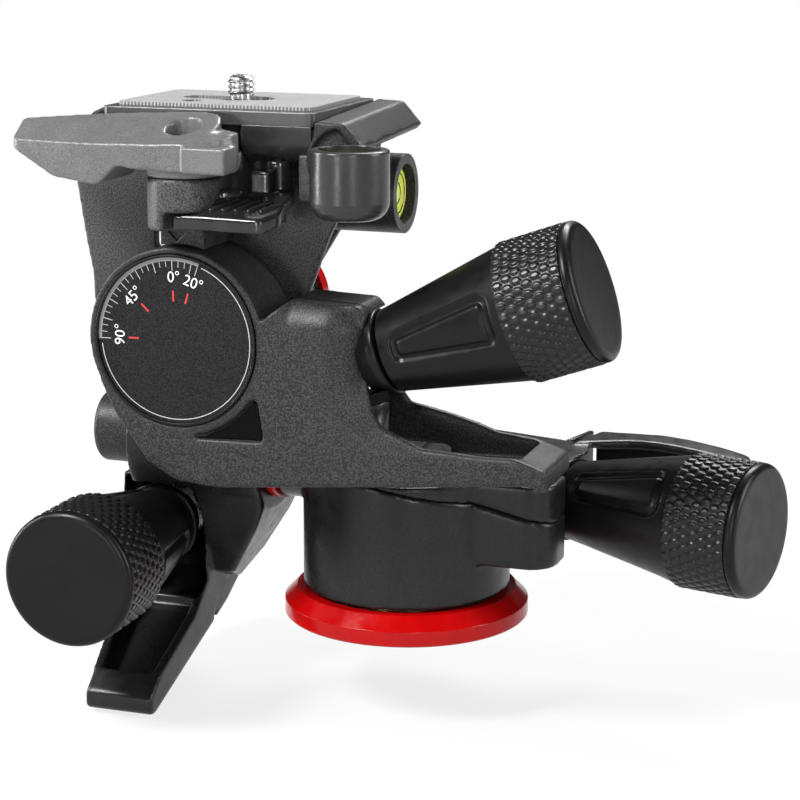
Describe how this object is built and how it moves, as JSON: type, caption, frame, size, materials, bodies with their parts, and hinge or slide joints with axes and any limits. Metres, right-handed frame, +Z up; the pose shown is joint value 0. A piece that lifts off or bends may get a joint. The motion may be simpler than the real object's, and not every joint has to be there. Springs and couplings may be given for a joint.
{
  "type": "geared tripod head",
  "caption": "Three-axis geared tripod head: worm-driven pan, front tilt and side tilt with squeeze-release knobs, a dial, bubble levels and a lever-locked camera plate.",
  "frame": {"origin": "centre of the base ring's underside, where the head sits on a tripod", "axes": "+Z up along the pan axis, -Y towards the user and the dial, +X to the user's right, along the front tilt axis"},
  "size_m": [0.1732, 0.108, 0.1509],
  "materials": {
    "shell": "dark charcoal fine-textured reinforced polymer",
    "casting": "dark charcoal textured powder coat",
    "knob": "satin black",
    "rubber": "black moulded rubber with raised ovals",
    "red": "glossy red",
    "lever": "satin mid grey",
    "brass": "machined",
    "steel": "ground",
    "dial": "dark grey with white and red markings",
    "pad": "grey ribbed rubber",
    "plate": "dark grey anodised",
    "vial": "yellow-green liquid in clear plastic",
    "alloy": "machined"
  },
  "bodies": {
    "base": {"base_ring": "red", "base_hub": "alloy", "tripod_bush": "brass", "pan_wheel": "brass", "base_screws": "steel", "pan_bearing": "brass", "pan_retainer": "steel"},
    "pan_stage": {"pan_lower_shell": "casting", "pan_upper_shell": "casting", "pan_pivot_pin": "steel", "pan_clutch_spring": "steel", "tip_shaft": "steel", "tip_wheel": "brass", "tip_ring": "red", "tip_nut": "steel"},
    "tilt_block": {"tilt_shell": "shell", "tilt_shell_cover": "shell", "tilt_cradle": "casting", "tip_end_cap": "shell", "side_ear_ring": "red", "dial_plate": "dial", "dial_bezel": "knob", "shell_screws": "steel", "tip_pivot_pin": "steel", "tip_clutch_spring": "steel", "side_pivot_pin": "steel", "side_clutch_spring": "steel"},
    "platform": {"fork": "shell", "side_shaft": "steel", "side_wheel": "brass", "index_block": "shell", "clamp_base": "shell", "deck_screws": "steel", "bubble_cup": "shell", "bubble_vial": "vial", "tube_level": "shell", "tube_vial": "vial", "lever_pin": "steel", "lever_clip": "steel", "catch_pin": "steel"},
    "lock_lever_body": {"lock_lever": "lever"},
    "safety_catch_body": {"safety_catch": "shell"},
    "plate_body": {"camera_plate": "plate", "plate_pad": "pad"},
    "camera_screw_body": {"camera_screw": "steel"},
    "pan_carriage_body": {"pan_carriage": "shell"},
    "pan_knob_body": {"pan_worm": "steel", "pan_knob": "knob", "pan_grip": "rubber"},
    "tip_carriage_body": {"tip_carriage": "shell"},
    "tip_knob_body": {"tip_worm": "steel", "tip_knob": "knob", "tip_grip": "rubber"},
    "side_carriage_body": {"side_carriage": "shell"},
    "side_knob_body": {"side_worm": "steel", "side_knob": "knob", "side_grip": "rubber"}
  },
  "joints": [
    {"name": "pan", "type": "hinge", "parent": "base", "child": "pan_stage", "pos_m": [0, 0, 0.0205], "axis": [0, 0, 1], "continuous": true},
    {"name": "front_tilt", "type": "hinge", "parent": "pan_stage", "child": "tilt_block", "pos_m": [-0.05, 0, 0.0405], "axis": [1, 0, 0], "range_deg": [-90, 20]},
    {"name": "side_tilt", "type": "hinge", "parent": "tilt_block", "child": "platform", "pos_m": [-0.043, 0, 0.0722], "axis": [0, 1, 0], "range_deg": [-90, 20]},
    {"name": "pan_clutch", "type": "hinge", "parent": "pan_stage", "child": "pan_carriage_body", "pos_m": [-0.00408, 0.03308, 0.0273], "axis": [0, 0, 1], "range_deg": [0, 6], "stiffness_Nm_per_rad": 6, "springref_deg": -20.05},
    {"name": "pan_knob_turn", "type": "hinge", "parent": "pan_carriage_body", "child": "pan_knob_body", "pos_m": [0.03832, 0.01551, 0.0273], "axis": [0.9659, -0.2588, 0], "continuous": true},
    {"name": "tip_clutch", "type": "hinge", "parent": "tilt_block", "child": "tip_carriage_body", "pos_m": [-0.0617, 0.0125, 0.0129], "axis": [1, 0, 0], "range_deg": [0, 6], "stiffness_Nm_per_rad": 6, "springref_deg": -20.05},
    {"name": "tip_knob_turn", "type": "hinge", "parent": "tip_carriage_body", "child": "tip_knob_body", "pos_m": [-0.0617, -0.0116, 0.0189], "axis": [0, -1, 0], "continuous": true},
    {"name": "side_clutch", "type": "hinge", "parent": "tilt_block", "child": "side_carriage_body", "pos_m": [-0.04688, -0.0298, 0.04596], "axis": [0, 1, 0], "range_deg": [0, 6], "stiffness_Nm_per_rad": 6, "springref_deg": -20.05},
    {"name": "side_knob_turn", "type": "hinge", "parent": "side_carriage_body", "child": "side_knob_body", "pos_m": [0.00617, -0.0298, 0.07132], "axis": [0.9415, 0, 0.3371], "continuous": true},
    {"name": "lock_lever_swing", "type": "hinge", "parent": "platform", "child": "lock_lever_body", "pos_m": [-0.04, -0.04, 0.1135], "axis": [0, 0, 1], "range_deg": [0, 35]},
    {"name": "safety_catch_swing", "type": "hinge", "parent": "platform", "child": "safety_catch_body", "pos_m": [-0.022, -0.0276, 0.103], "axis": [0, 0, 1], "range_deg": [0, 10], "stiffness_Nm_per_rad": 0.05, "springref_deg": -11.46},
    {"name": "camera_plate_lift", "type": "slide", "parent": "platform", "child": "plate_body", "axis": [0, 0, 1], "range_m": [0, 0.012]},
    {"name": "camera_screw_turn", "type": "hinge", "parent": "plate_body", "child": "camera_screw_body", "pos_m": [-0.03855, -0.00995, 0.125], "axis": [0, 0, 1], "continuous": true}
  ],
  "couplings": [
    {"joint": "pan_knob_turn", "follows": "pan", "ratio": -61},
    {"joint": "tip_knob_turn", "follows": "front_tilt", "ratio": -50},
    {"joint": "side_knob_turn", "follows": "side_tilt", "ratio": 36}
  ]
}
